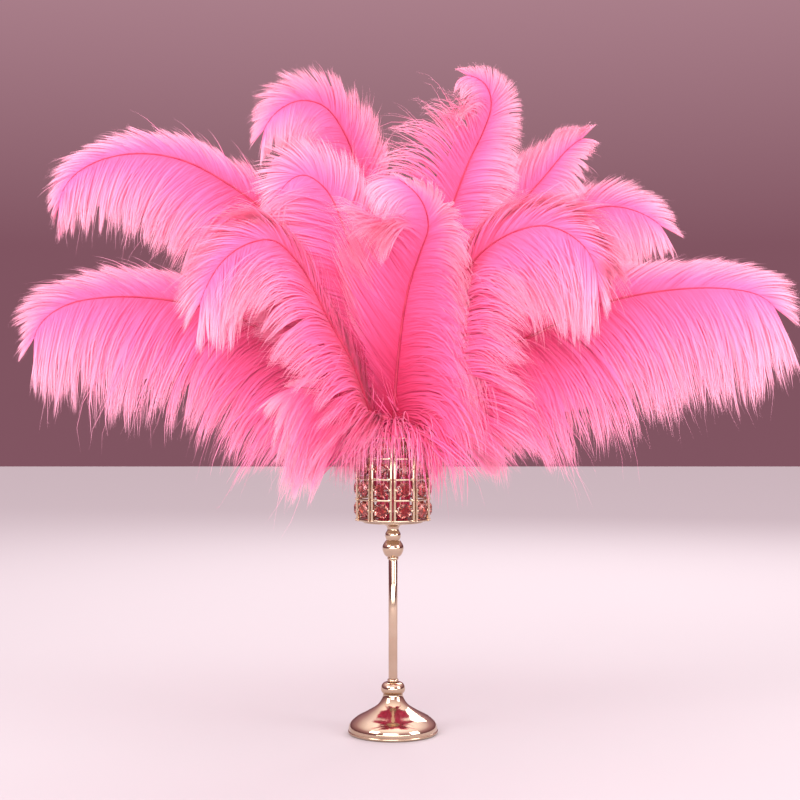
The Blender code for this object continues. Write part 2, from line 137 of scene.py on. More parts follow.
def add_floor(half_size):
    mesh = bpy.data.meshes.new("floor")
    corners = [(-half_size, -half_size, 0), (half_size, -half_size, 0),
               (half_size, half_size, 0), (-half_size, half_size, 0)]
    mesh.from_pydata(corners, [], [(0, 1, 2, 3)])
    mesh.materials.append(plain_material("floor_paper", FLOOR_COLOUR, FLOOR_ROUGHNESS))
    floor = link(bpy.data.objects.new("floor", mesh))
    floor.location.z = -FLOOR_GAP
    floor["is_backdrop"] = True


def add_room():
    """A world whose colour changes with height, for the polished metal to mirror."""
    world = bpy.data.worlds.new("studio")
    world.use_nodes = True
    sky = world.node_tree
    place = sky.nodes.new("ShaderNodeTexCoord")
    height = sky.nodes.new("ShaderNodeSeparateXYZ")
    room = sky.nodes.new("ShaderNodeValToRGB")
    room.color_ramp.elements.new(ROOM_STOPS[1][0])
    for element, (position, colour) in zip(room.color_ramp.elements, ROOM_STOPS):
        element.position = position
        element.color = (*colour, 1.0)
    sky.links.new(place.outputs["Generated"], height.inputs["Vector"])
    sky.links.new(height.outputs["Z"], room.inputs["Fac"])
    sky.links.new(room.outputs["Color"], sky.nodes["Background"].inputs["Color"])
    bpy.context.scene.world = world


def add_lamp(name, place, target, size, power):
    data = bpy.data.lights.new(name, "AREA")
    data.shape = "RECTANGLE"
    data.size, data.size_y = size
    data.energy = power
    lamp = link(bpy.data.objects.new(name, data))
    lamp.location = place
    lamp.rotation_euler = (Vector(target) - Vector(place)).to_track_quat("-Z", "Y").to_euler()


add_floor(FLOOR_HALF_SIZE)
add_room()
bpy.context.scene.view_settings.view_transform = "Standard"
for lamp_row in LAMPS:
    add_lamp(*lamp_row)

# %% [markdown]
# ## Gold plate
# The stand is plated metal, polished by hand. A mirror-like metal looks dead when it is perfectly
# even, so a slow noise moves the roughness a little and a fainter one tints the plate, as wiping
# and age do.

# %% Gold plate
NOISE_SPAN = (0.3, 0.7)
GOLD_SHADES = ((0.58, 0.43, 0.30), (0.70, 0.55, 0.41))
GOLD_ROUGHNESS = (0.05, 0.13)


def nodes_of(material):
    return material.node_tree.nodes, material.node_tree.links


def noise_range(material, scale, low, high, detail=2.0):
    """A Noise Texture in object space, stretched from the span it really fills to two values."""
    nodes, links = nodes_of(material)
    place = nodes.new("ShaderNodeTexCoord")
    noise = nodes.new("ShaderNodeTexNoise")
    noise.inputs["Scale"].default_value = scale
    noise.inputs["Detail"].default_value = detail
    squeeze = nodes.new("ShaderNodeMapRange")
    squeeze.inputs["From Min"].default_value = NOISE_SPAN[0]
    squeeze.inputs["From Max"].default_value = NOISE_SPAN[1]
    squeeze.inputs["To Min"].default_value = low
    squeeze.inputs["To Max"].default_value = high
    links.new(place.outputs["Object"], noise.inputs["Vector"])
    links.new(noise.outputs["Fac"], squeeze.inputs["Value"])
    return squeeze.outputs["Result"]


def mix_colours(material, factor, first, second):
    """A colour between two others, chosen by a factor socket."""
    nodes, links = nodes_of(material)
    ramp = nodes.new("ShaderNodeValToRGB")
    ramp.color_ramp.elements[0].color = (*first, 1.0)
    ramp.color_ramp.elements[1].color = (*second, 1.0)
    links.new(factor, ramp.inputs["Fac"])
    return ramp.outputs["Color"]


def make_gold():
    gold = plain_material("gold_plate", (0.85, 0.62, 0.40), 0.1)
    nodes, links = nodes_of(gold)
    shader = nodes["Principled BSDF"]
    shader.inputs["Metallic"].default_value = 1.0
    tint = mix_colours(gold, noise_range(gold, 35, 0, 1), *GOLD_SHADES)
    links.new(tint, shader.inputs["Base Color"])
    links.new(noise_range(gold, 60, *GOLD_ROUGHNESS, detail=4), shader.inputs["Roughness"])
    return gold


gold_plate = make_gold()
print("gold nodes:", len(gold_plate.node_tree.nodes))

# %% [markdown]
# ## Turned pieces
# Foot, collar, rings, stem, knob and seat were all turned on a lathe, so each is one outline swept
# round the axis. The outlines keep to the frame's heights and radii, and add the rounded lips and
# finer curves that the plain solids leave out.

# %% Sweeping an outline round the axis
TURNED_SIDES = 96
TURNED_SHARP_ANGLE = 40


def ring_faces(rings, sides):
    """Quads between rings of corners that are numbered one ring after another."""
    faces = []
    for ring in range(rings - 1):
        for index in range(sides):
            following = (index + 1) % sides
            faces.append((ring * sides + index, ring * sides + following,
                          (ring + 1) * sides + following, (ring + 1) * sides + index))
    return faces


def turned_mesh(name, outline, sides):
    """Closed surface from (radius, height) points that run up the outside."""
    count = len(outline)
    angle = np.arange(sides) * 2 * math.pi / sides
    radius = np.array([point[0] for point in outline])
    height = np.array([point[1] for point in outline])
    x = radius[:, None] * np.cos(angle)
    y = radius[:, None] * np.sin(angle)
    z = np.repeat(height[:, None], sides, axis=1)
    corners = np.stack([x, y, z], axis=2).reshape(-1, 3)
    bottom = tuple(reversed(range(sides)))
    top = tuple(range((count - 1) * sides, count * sides))
    faces = [bottom] + ring_faces(count, sides) + [top]
    mesh = bpy.data.meshes.new(name)
    mesh.from_pydata(corners.tolist(), [], faces)
    mesh.shade_smooth()
    mesh.set_sharp_from_angle(angle=math.radians(TURNED_SHARP_ANGLE))
    return mesh


def stand_piece(name, outline, node, sides=TURNED_SIDES):
    """A turned gold piece that stands for one node of the frame."""
    mesh = turned_mesh(name, outline, sides)
    mesh.materials.append(gold_plate)
    piece = link(bpy.data.objects.new(name, mesh))
    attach(piece, "root")
    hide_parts(node)


# %% [markdown]
# A smooth curve through a few points serves both the turned outlines here and the plume shafts
# below. It passes through every point, and the points come back evenly spaced by length, which
# keeps the rings of a mesh even too.

# %% Smooth curves
FINE_POINTS = 800


def unit(vectors):
    return vectors / np.linalg.norm(vectors, axis=-1, keepdims=True)


def smooth_curve(points, count):
    """Points spaced evenly by length on a smooth curve through the given points, and its length."""
    points = np.asarray(points, float)
    knots = np.concatenate([[0], np.cumsum(np.sqrt(np.linalg.norm(np.diff(points, axis=0), axis=1)))])
    before = (points[1:-1] - points[:-2]) / (knots[1:-1] - knots[:-2])[:, None]
    after = (points[2:] - points[1:-1]) / (knots[2:] - knots[1:-1])[:, None]
    share = ((knots[1:-1] - knots[:-2]) / (knots[2:] - knots[:-2]))[:, None]
    slopes = np.zeros_like(points)
    slopes[1:-1] = after * share + before * (1 - share)
    slopes[0] = 2 * (points[1] - points[0]) / (knots[1] - knots[0]) - slopes[1]
    slopes[-1] = 2 * (points[-1] - points[-2]) / (knots[-1] - knots[-2]) - slopes[-2]
    fine = np.linspace(0, knots[-1], FINE_POINTS)
    left = np.clip(np.searchsorted(knots, fine, side="right") - 1, 0, len(points) - 2)
    span = (knots[left + 1] - knots[left])[:, None]
    t = (fine - knots[left])[:, None] / span
    curve = ((2 * t**3 - 3 * t**2 + 1) * points[left]
             + (t**3 - 2 * t**2 + t) * span * slopes[left]
             + (3 * t**2 - 2 * t**3) * points[left + 1]
             + (t**3 - t**2) * span * slopes[left + 1])
    lengths = np.concatenate([[0], np.cumsum(np.linalg.norm(np.diff(curve, axis=0), axis=1))])
    even = np.linspace(0, lengths[-1], count)
    resampled = [np.interp(even, lengths, curve[:, axis]) for axis in range(points.shape[1])]
    return np.stack(resampled, axis=1), lengths[-1]


def outline_through(points, count):
    curve, _ = smooth_curve([(radius * MM, height * MM) for radius, height in points], count)
    return [tuple(point) for point in curve]


# %% Foot, collar, rings, stem, knob and seat
def rounded_band(radius, bottom, top, bevel, steps=5):
    """Outline of a plain band whose two outer edges are quarter circles. Sizes in millimetres."""
    inner = radius - bevel
    turns = [math.pi / 2 * step / steps for step in range(steps + 1)]
    points = [(inner + bevel * math.sin(turn), bottom + bevel - bevel * math.cos(turn)) for turn in turns]
    points += [(inner + bevel * math.cos(turn), top - bevel + bevel * math.sin(turn)) for turn in turns]
    return [(radius * MM, height * MM) for radius, height in points]


# Points of the curved outlines, from the bottom up, as (radius, height) in millimetres.
FOOT_BELL = ((44.2, 2.7), (43.4, 8.5), (37, 14.8), (26, 20.8), (15, 28), (10.6, 35), (9.9, 38.4))
COLLAR = ((9.9, 38.7), (11.7, 41), (12.1, 43.5), (11.4, 47), (9.4, 49.4), (7.5, 50))
KNOB = ((6.6, 175.6), (8.6, 177.5), (10.4, 182), (10.4, 186), (8.4, 190), (6.6, 192))
SEAT = ((6.6, 192.3), (7.6, 194.8), (7.6, 198.6), (5.8, 202), (6.2, 205), (10, 207.6),
        (22, 209), (29.4, 209.6))
SEAT_RIM = ((30, 210), (30, 211), (29.6, 211.2))
RING_RADIUS = 5.6
RING_BEVEL = 1.2
STEM_RADIUS = 4.5
STEM_BEVEL = 0.3
STEM_SIDES = 48

foot = rounded_band(radius=45, bottom=0, top=2.6, bevel=1.0) + outline_through(FOOT_BELL, 36)
stand_piece("foot_bell", foot, "foot")
stand_piece("foot_urn", outline_through(COLLAR, 20), "foot_collar")
stand_piece("foot_bead", rounded_band(RING_RADIUS, 50.3, 53.4, RING_BEVEL), "foot_ring")
stem = rounded_band(STEM_RADIUS, 53.7, 172, STEM_BEVEL, steps=2)
stand_piece("stem_tube", stem, "stem", STEM_SIDES)
stand_piece("stem_bead", rounded_band(RING_RADIUS, 172.3, 175.3, RING_BEVEL), "stem_ring")
stand_piece("stem_knob", outline_through(KNOB, 24), "knob")
seat_rim = [(radius * MM, height * MM) for radius, height in SEAT_RIM]
stand_piece("cup_saucer", outline_through(SEAT, 36) + seat_rim, "cup_seat")
floor_low, floor_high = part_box("cup_floor")
cup_plate = rounded_band(floor_high.x / MM, floor_low.z / MM, floor_high.z / MM, bevel=0.4, steps=3)
stand_piece("cup_plate", cup_plate, "cup_floor")
print("turned pieces done, cup floor radius in mm:", round(floor_high.x / MM, 1))

# %% [markdown]
# ## Cup panels
# Each side of the cup is a little ladder stamped from bar stock: two uprights and five rungs, with
# a ball at every corner where two bars meet. A faceted glass bead hangs in each window, and a small
# metal ball left and right of it hides the pin. One ladder is built at the origin in bmesh, bevelled
# so that its edges catch light, and every panel is a turned copy of it.

# %% Sizes of a panel
PANEL_COUNT = 10
CELLS = 4
BAR = 2.2 * MM
PANEL_WIDTH = 21.6 * MM
PANEL_HEIGHT = 84 * MM
CUP_BOTTOM = 212 * MM
CUP_RADIUS = 38.5 * MM
PITCH = (PANEL_HEIGHT - BAR) / CELLS
BEAD_RADIUS = 7.4 * MM
BALL_RADIUS = 1.9 * MM
CORNER_BALL_RADIUS = 1.15 * MM
CORNER_BALL_DEPTH = 0.45 * BAR
RUNG_HALF_DEPTH = 0.42 * BAR
RUNG_INSET = 0.6 * BAR
BAR_BEVEL = 0.35 * MM
LADDER_SHARP_ANGLE = 50


def add_box(work, low, high):
    made = bmesh.ops.create_cube(work, size=1.0)
    size = Vector(high) - Vector(low)
    middle = (Vector(high) + Vector(low)) / 2
    bmesh.ops.scale(work, verts=made["verts"], vec=size)
    bmesh.ops.translate(work, verts=made["verts"], vec=middle)


def add_ball(work, centre, radius):
    made = bmesh.ops.create_uvsphere(work, u_segments=10, v_segments=6, radius=radius)
    bmesh.ops.translate(work, verts=made["verts"], vec=centre)


def ladder_mesh():
    """Uprights, rungs and balls of one panel, in the YZ plane."""
    work = bmesh.new()
    half = PANEL_WIDTH / 2
    for side in (-1, 1):
        inner, outer = sorted((side * half, side * (half - BAR)))
        add_box(work, (-BAR / 2, inner, 0), (BAR / 2, outer, PANEL_HEIGHT))
    for rung in range(CELLS + 1):
        low = rung * PITCH
        add_box(work, (-RUNG_HALF_DEPTH, -half + RUNG_INSET, low),
                (RUNG_HALF_DEPTH, half - RUNG_INSET, low + BAR))
    bmesh.ops.bevel(work, geom=list(work.edges), offset=BAR_BEVEL, segments=2, affect="EDGES", profile=0.6)
    for cell in range(CELLS):
        middle = cell * PITCH + (PITCH + BAR) / 2
        for side in (-1, 1):
            add_ball(work, (0, side * (BEAD_RADIUS + 0.5 * BALL_RADIUS), middle), BALL_RADIUS)
    for side in (-1, 1):
        for rung in range(CELLS + 1):
            corner = (CORNER_BALL_DEPTH, side * (half - BAR / 2), rung * PITCH + BAR / 2)
            add_ball(work, corner, CORNER_BALL_RADIUS)
    mesh = bpy.data.meshes.new("ladder")
    work.to_mesh(mesh)
    work.free()
    mesh.shade_smooth()
    mesh.set_sharp_from_angle(angle=math.radians(LADDER_SHARP_ANGLE))
    return mesh


print("window pitch in mm:", round(PITCH / MM, 2))

# %% [markdown]
# The bead is an octagon cut: a flat table in front and behind, a thin belt, and slanted facets
# between them. Facets must stay flat-shaded, because the sparkle comes from each of them bending
# the light its own way. The glass is plain transmission with a rose tint, which is painted reflection
# of the pink plumes seen in and through the beads. Beads and ladder stand in for the same panel of
# the frame, because in the frame each panel and its beads are one body.

# %% Beads
BEAD_SIDES = 8
# Each ring of corners: share of the bead's radius, depth in millimetres, and turn in sides.
BEAD_RINGS = ((0.52, -3.4, 0.5), (0.90, -1.7, 0.0), (1.0, -0.4, 0.5),
              (1.0, 0.4, 0.5), (0.90, 1.7, 0.0), (0.52, 3.4, 0.5))
# Rose-amber tint of the beads: painted reflection of the pink plumes seen in and through them.
GLASS_PAINTED_REFLECTION_SHADES = ((0.86, 0.26, 0.26), (0.90, 0.44, 0.30))
GLASS_IOR = 1.55


def bead_ring(radius, depth, turn, height):
    ring = []
    for side in range(BEAD_SIDES):
        angle = 2 * math.pi * (side + turn) / BEAD_SIDES
        ring.append((depth, radius * math.cos(angle), height + radius * math.sin(angle)))
    return ring


def beads_mesh():
    """The four beads of one panel as one mesh of closed, flat-faceted solids."""
    work = bmesh.new()
    for cell in range(CELLS):
        middle = cell * PITCH + (PITCH + BAR) / 2
        corners = []
        for share, depth, turn in BEAD_RINGS:
            corners.extend(bead_ring(BEAD_RADIUS * share, depth * MM, turn, middle))
        made = [work.verts.new(corner) for corner in corners]
        bmesh.ops.convex_hull(work, input=made)
    bmesh.ops.recalc_face_normals(work, faces=list(work.faces))
    mesh = bpy.data.meshes.new("beads")
    work.to_mesh(mesh)
    work.free()
    return mesh


def make_glass():
    glass = plain_material("crystal_glass", (0.86, 0.36, 0.30), 0.0)
    nodes, links = nodes_of(glass)
    shader = nodes["Principled BSDF"]
    tint = mix_colours(glass, noise_range(glass, 45, 0, 1), *GLASS_PAINTED_REFLECTION_SHADES)
    links.new(tint, shader.inputs["Base Color"])
    shader.inputs["Transmission Weight"].default_value = 1.0
    shader.inputs["IOR"].default_value = GLASS_IOR
    return glass


crystal_glass = make_glass()
ladder = ladder_mesh()
ladder.materials.append(gold_plate)
beads = beads_mesh()
beads.materials.append(crystal_glass)
panel_distance = CUP_RADIUS * math.cos(math.pi / PANEL_COUNT) - BAR / 2
for index in range(PANEL_COUNT):
    angle = 2 * math.pi * index / PANEL_COUNT
    for label, mesh in (("ladder", ladder), ("beads", beads)):
        piece = link(bpy.data.objects.new(f"{label}_{index + 1:02d}", mesh))
        piece.location = (panel_distance * math.cos(angle), panel_distance * math.sin(angle), CUP_BOTTOM)
        piece.rotation_euler = (0, 0, angle)
        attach(piece, "root")
        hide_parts(f"panel_{index + 1:02d}")
print("faces in a ladder:", len(ladder.polygons), "faces in a panel's beads:", len(beads.polygons))

# %% [markdown]
# ## Plume shafts
# A plume grows along one shaft. Each row below repeats the frame's own layout: the name, the ring and
# the angle where the quill stands in the cup, the points in millimetres its shaft bends through,
# which way its first vane faces at the base and at the tip, the longest barbs of its two vanes in
# millimetres, and the share of that length left at the tip.

# %% Plume layout
INNER_RING = 6 * MM
OUTER_RING = 13 * MM
MOUTH_SPREAD = 2.0
MOUTH_Z = 300 * MM
QUILL_FOOT = 214.2 * MM
QUILL_RADIUS = 1.7 * MM
VANE_START = 84 * MM
SHAFT_POINTS = 200
SHAFT_TAPER = 0.8
SHAFT_TAPER_POWER = 1.5

PLUMES = (
    ("left_upper", OUTER_RING, 165,
     ((-45, 12, 400), (-105, 22, 500), (-190, 25, 565), (-230, 25, 580),
      (-270, 25, 582), (-304, 24, 573), (-328, 21, 555), (-338, 18, 530)),
     (0.2, 0.3, 0.9), (0, 0.3, 1), 55, 100, 0.7),
    ("left_lower", OUTER_RING, 195,
     ((-90, -5, 372), (-150, -10, 412), (-205, -12, 428), (-240, -14, 433),
      (-280, -15, 434), (-320, -17, 427), (-344, -18, 412), (-354, -19, 394)),
     (0, 0.3, 1), (0, 0.1, 1), 65, 125, 0.72),
    ("left_front", OUTER_RING, 225,
     ((-38, -40, 365), (-62, -55, 410), (-88, -68, 460), (-113, -80, 483),
      (-137, -86, 479), (-160, -90, 462), (-180, -92, 425)),
     (0.2, 1, 0.1), (-0.2, 0.3, 1), 80, 110, 0.7),
    ("left_low", OUTER_RING, 210,
     ((-22, -18, 318), (-46, -30, 334), (-72, -38, 342), (-98, -42, 344)),
     (0, 0.5, 1), (0, 0.3, 1), 24, 105, 0.6),
    ("left_top", INNER_RING, 144,
     ((-10, 45, 434), (-24, 63, 516), (-35, 66, 562), (-49, 60, 606),
      (-70, 46, 634), (-94, 32, 638), (-116, 22, 626), (-130, 16, 606)),
     (1, 0.2, 0), (0.3, 0.2, 1), 60, 84, 0.7),
    ("left_mid", INNER_RING, 216,
     ((-10, 0, 352), (-28, 2, 432), (-48, 4, 502), (-68, 4, 544), (-90, 0, 557), (-112, -6, 540)),
     (1, 0.3, 0.5), (0.3, 0.3, 1), 75, 120, 0.7),
    ("left_back", OUTER_RING, 135,
     ((-30, 40, 360), (-66, 60, 410), (-103, 70, 489), (-134, 72, 533),
      (-163, 72, 543), (-187, 70, 529)),
     (0, 0.5, 1), (0, 0.5, 1), 50, 100, 0.7),
    ("front", INNER_RING, 270,
     ((7, -24, 391), (15, -40, 440), (27, -60, 475), (34, -75, 497), (27, -88, 520), (6, -98, 538)),
     (1, -0.7, 0), (0.7, 0, 0.7), 130, 118, 0.45),
    ("top", INNER_RING, 72,
     ((22, 22, 403), (40, 34, 473), (58, 38, 524), (78, 38, 577),
      (92, 34, 606), (100, 26, 632), (94, 16, 650), (76, 6, 658)),
     (1, 0, -0.2), (0.8, 0.2, 0.8), 68, 110, 0.42),
    ("right_top", INNER_RING, 0,
     ((59, 48, 404), (112, 68, 506), (140, 74, 545), (160, 74, 568), (182, 70, 594), (196, 64, 604)),
     (1, 0.2, -0.6), (0.8, 0.1, -0.8), 84, 92, 0.5),
    ("right_back", OUTER_RING, 15,
     ((50, 48, 360), (115, 85, 445), (178, 98, 514), (214, 100, 536),
      (240, 100, 538), (264, 98, 531), (284, 96, 518)),
     (0, 0.5, 1), (0, 0.3, 1), 62, 80, 0.8),
    ("right_front", OUTER_RING, 315,
     ((34, -14, 332), (58, -30, 410), (74, -44, 460), (94, -56, 481), (122, -64, 495),
      (146, -70, 498), (170, -75, 488), (187, -80, 469), (194, -82, 442)),
     (-0.3, 0.5, 0.8), (0.3, 0.5, 0.6), 84, 125, 0.7),
    ("right_lower", OUTER_RING, 345,
     ((67, -8, 362), (137, -10, 395), (206, -10, 427), (246, -10, 437),
      (296, -10, 443), (336, -12, 442), (362, -14, 436), (378, -14, 424)),
     (0, 0.3, 1), (0, 0.2, 1), 68, 130, 0.85),
    ("right_low", OUTER_RING, 0,
     ((30, 4, 318), (56, 10, 334), (84, 14, 342), (108, 16, 344)),
     (0, 0.5, 1), (0, 0.3, 1), 24, 92, 0.6),
    ("back", OUTER_RING, 75,
     ((0, 45, 370), (5, 90, 460), (8, 130, 510), (10, 175, 525), (10, 215, 505), (10, 240, 465)),
     (-1, 0, 0), (-1, 0, 0), 100, 100, 0.7),
    ("back_left", OUTER_RING, 105,
     ((-30, 55, 360), (-80, 110, 450), (-125, 165, 500), (-155, 205, 505),
      (-175, 235, 480), (-185, 250, 445)),
     (-0.8, -0.6, 0.2), (-0.8, -0.6, 0.4), 95, 110, 0.7),
    ("back_right", OUTER_RING, 45,
     ((32, 55, 360), (80, 115, 440), (125, 170, 490), (155, 210, 495),
      (175, 238, 470), (185, 252, 435)),
     (-0.7, 0.7, 0.2), (-0.7, 0.7, 0.2), 95, 110, 0.7),
    ("back_low", INNER_RING, 108,
     ((0, 60, 345), (10, 130, 395), (15, 200, 420), (15, 245, 405), (15, 275, 365)),
     (-1, 0, 0), (-1, 0, 0), 95, 110, 0.7),
)

# Some vanes don't follow the general rules. A vane is named by its plume and by 1 or -1, its side.
# How much more a vane hangs than its place on the shaft alone would make it, at the base and at the tip.
DROOPING_VANES = {("top", -1): (1.2, 0.7), ("front", 1): (0.9, 0), ("front", -1): (-0.3, 1.3),
                  ("left_top", -1): (0.5, 0)}
# The share of the barbs' length left at the tip, and where along the vane the narrowing starts.
OWN_ROUNDING = {("front", -1): (0.5, 0.5), ("front", 1): (0.12, 0.25),
                ("right_top", 1): (0.42, 0.5), ("right_top", -1): (0.42, 0.5)}
ROUNDING_START = 0.55
# The share of barbs that stray from their neighbours.
LOOSE_VANES = {("top", -1): 0.5, ("left_lower", 1): 0.16}
LOOSENESS = 0.1
# Vanes that have come apart into thin wisps.
WISPY_VANES = (("top", -1),)


def shaft_of(ring_radius, azimuth, points, base_across, tip_across):
    """The shaft's points, directions, vane directions and lengths, from the quill's foot to the tip."""
    angle = math.radians(azimuth)
    outward = np.array((math.cos(angle), math.sin(angle), 0))
    foot = outward * ring_radius + (0, 0, QUILL_FOOT)
    mouth = outward * ring_radius * MOUTH_SPREAD + (0, 0, MOUTH_Z)
    route = [foot, mouth] + [np.array(point) * MM for point in points]
    path, length = smooth_curve(route, SHAFT_POINTS)
    along = unit(np.gradient(path, axis=0))
    distance = np.linspace(0, length, len(path))
    growth = np.clip((distance - VANE_START) / (length - VANE_START), 0, 1)[:, None]
    lean = unit(np.array(base_across, float)) * (1 - growth) + unit(np.array(tip_across, float)) * growth
    across = unit(lean - np.sum(lean * along, axis=1)[:, None] * along)
    return path, along, across, distance


def shaft_radius(share):
    return QUILL_RADIUS * (1 - SHAFT_TAPER * share**SHAFT_TAPER_POWER)


def sample(table, distance, where):
    return np.stack([np.interp(where, distance, table[:, axis]) for axis in range(3)], axis=1)


print("plumes:", len(PLUMES))

# %% [markdown]
# ## Barbs
# Ostrich barbs have no hooks, so they hang free. Each leaves the shaft at an angle, stays stiff for
# a little way and then bends down under its own weight; neighbours stick together in small locks,
# and a few stray. All barbs of a vane are worked out together as arrays, which is what makes
# thousands of them affordable: one step of the loop bends every barb at once.

# %% How one barb leaves the shaft and bends
BARB_STEPS = 7
# Degrees between barb and shaft, the share by which that closes toward the tip, how late it does so,
# the share by which it closes in the last part, and how much of the vane the last part is.
ROOT_ANGLE = 50.0
HANG_ANGLE = 8.0
FLUFF_ANGLE = 42.0
TIP_CLOSING = 0.15
TIP_CLOSING_POWER = 2.5
LAST_CLOSING = 0.55
CLOSING_PART = 0.12
# Where a barb's root sits, in radii of the shaft beside its middle and behind it.
ROOT_ASIDE = 0.8
ROOT_BEHIND = 0.6
# How readily a barb bends: at its root, and how much more if it hangs, is fluff or droops.
ROOT_SOFTNESS = 1.9
HANG_SOFTNESS = 0.7
FLUFF_SOFTNESS = 0.9
DROOP_SOFTNESS = 0.7
LAST_STIFFNESS = 0.7
STIFF_PART = 0.14
BEND_AT_ROOT = 0.35
BEND_GROWTH = 1.3
# What a barb bends toward: the ground, less so on an upper vane, and the plume's own direction.
UPPER_RELIEF = 0.7
FORWARD_PULL = 0.12
UPPER_FORWARD_PULL = 0.75
SWAY_GROWTH = 1.2
RIPPLE_LENGTH = 6.0
RIPPLE_UNHUNG = 0.55
# How strongly a barb must keep to its own side of the shaft, and how late along it that lets go.
OWN_SIDE = 0.25
RELEASE_POWER = 6


def ease(x):
    x = np.clip(x, 0, 1)
    return x * x * (3 - 2 * x)


def last_part(growth, part):
    """Rises from 0 to 1 over the last part of the vane."""
    return ease((growth - (1 - part)) / part)


def even_barbs(count):
    """The quirks of barbs that all grow alike."""
    names = ("angle", "lean", "softness", "sway", "ripple", "phase", "fluff")
    return {name: np.zeros(count) for name in names} | {"hold": np.ones(count)}


def bent_barbs(shaft, where, side, droop, length, quirks):
    """Points along barbs, normals of the sheet they lie in, and the way the vane faces."""
    path, along_path, across_path, distance = shaft
    growth = (where - VANE_START) / (distance[-1] - VANE_START)
    along = unit(sample(along_path, distance, where))
    across = unit(sample(across_path, distance, where))
    front = np.cross(along, across)
    hang = np.clip(droop[0] * (1 - growth**2) + droop[1] * growth**2 - side * across[:, 2], -1, 1)
    upper = ((1 - hang) / 2)[:, None]
    closing = 1 - TIP_CLOSING * growth**TIP_CLOSING_POWER
    closing = closing * (1 - LAST_CLOSING * last_part(growth, CLOSING_PART))
    fluff = quirks["fluff"]
    hold = quirks["hold"] * (1 - growth**RELEASE_POWER)
    angle = (ROOT_ANGLE + HANG_ANGLE * hang) * closing + FLUFF_ANGLE * fluff + quirks["angle"]
    angle = np.radians(angle)[:, None]
    heading = np.cos(angle) * along + side * np.sin(angle) * across
    heading = unit(heading + quirks["lean"][:, None] * front)
    softness = ROOT_SOFTNESS + HANG_SOFTNESS * hang + FLUFF_SOFTNESS * fluff + DROOP_SOFTNESS * max(droop)
    softness = softness * (1 + quirks["softness"]) * (1 - LAST_STIFFNESS * last_part(growth, STIFF_PART))
    ripple = quirks["ripple"] * (RIPPLE_UNHUNG + (1 - RIPPLE_UNHUNG) * hang)
    radius = shaft_radius(where / distance[-1])
    behind = front * np.sign(front[:, 1:2])
    root = (ROOT_ASIDE * side * across + ROOT_BEHIND * behind) * radius[:, None]
    points = [sample(path, distance, where) + root]
    headings = [heading]
    for step in range(BARB_STEPS):
        share = (step + 0.5) / BARB_STEPS
        ahead = unit(sample(along_path, distance, where + length * share))
        pull = (1 - UPPER_RELIEF * upper) * np.array((0.0, 0.0, -1.0))
        pull = pull + (FORWARD_PULL + UPPER_FORWARD_PULL * upper) * ahead
        turned = pull - np.sum(heading * pull, axis=1)[:, None] * heading
        bend = (softness * (BEND_AT_ROOT + BEND_GROWTH * share) / BARB_STEPS)[:, None]
        wave = ripple * share * np.sin(RIPPLE_LENGTH * share + quirks["phase"])
        aside = quirks["sway"][:, None] * share * SWAY_GROWTH * front + wave[:, None] * along
        heading = unit(heading + bend * turned + aside / BARB_STEPS)
        missing = np.maximum(0, OWN_SIDE - side * np.sum(heading * across, axis=1)) * hold
        heading = unit(heading + side * missing[:, None] * across)
        points.append(points[-1] + heading * (length / BARB_STEPS)[:, None])
        headings.append(heading)
    sheet = side * unit(np.cross(along[:, None, :], np.stack(headings, axis=1)) + 1e-6)
    return np.stack(points, axis=1), sheet, front


# %% [markdown]
# No two barbs are quite alike. Each belongs to a lock of neighbours, so every quirk has a part that
# the lock shares and a part of its own. Some barbs stray out of their lock, and the lowest are fluff
# that stands away from the shaft. Toward their tips the barbs of a lock draw together, which makes
# the combed fringe of a plume that has been handled.

# %% All barbs of one vane
LOCK_SIZE = 16
# How much a quirk varies from lock to lock, and from barb to barb in a lock.
LENGTH_NOISE = (0.07, 0.09)
ANGLE_NOISE = (1.2, 1.4)
LEAN_NOISE = (0.02, 0.035)
SOFTNESS_NOISE = (0.06, 0.07)
SWAY_NOISE = (0.14, 0.2)
RIPPLE = 1.3
RIPPLE_SPREAD = (0.2, 1.0)
PHASE_NOISE = 0.35
STRAY_LENGTH = (-0.1, 0.25)
STRAY_ANGLE = (2, 6)
STRAY_LEAN = 0.12
STRAY_STIFFNESS = 0.2
STRAY_HOLD = 0.8
STRAY_THINNING = 0.6
FLUFF_LENGTH = 0.035
FLUFF_LEAN = 0.9
# The point of the shaft where the vanes have begun. A raised vane is more even and gathers less.
FIRST_VANE_POINT = 60
RAISED_EVENNESS = 0.9
RAISED_SMOOTHNESS = 0.95
VANE_DEPTH = 0.25 * MM
GATHER = 0.6
GATHER_SPREAD = (0.3, 1.3)
GATHER_POWER = 3.2
MOST_GATHERED = 0.95
BOX_MARGIN = 15 * MM
# Barb length at the base as a share of the longest, the part of the vane in which it would grow by
# a whole barb, how much shorter the last barbs are, and a power that below 1 crowds barbs to the tip.
BASE_SHARE = 0.65
FILLING_PART = 0.3
TIP_SHORTENING = 0.4
SHORT_PART = 0.14
TIP_CROWDING = 0.92


def barb_share(growth, tip_share, start):
    """Barb length as a share of the longest: short at the base, full in the middle, round at the tip."""
    filling = np.minimum(1, growth / FILLING_PART + BASE_SHARE)
    rounding = 1 - (1 - tip_share) * ease((growth - start) / (1 - start))
    ending = 1 - TIP_SHORTENING * last_part(growth, SHORT_PART)
    return filling * rounding * ending


def kept_in_box(points):
    """Presses barbs that stray beyond the frame's box softly back, so none stands far outside it."""
    for corner, sign in ((cad_box[0], -1), (cad_box[1], 1)):
        over = np.maximum(0, sign * (points - np.array(corner)))
        points = points - sign * (over - BOX_MARGIN * np.tanh(over / BOX_MARGIN))
    return points


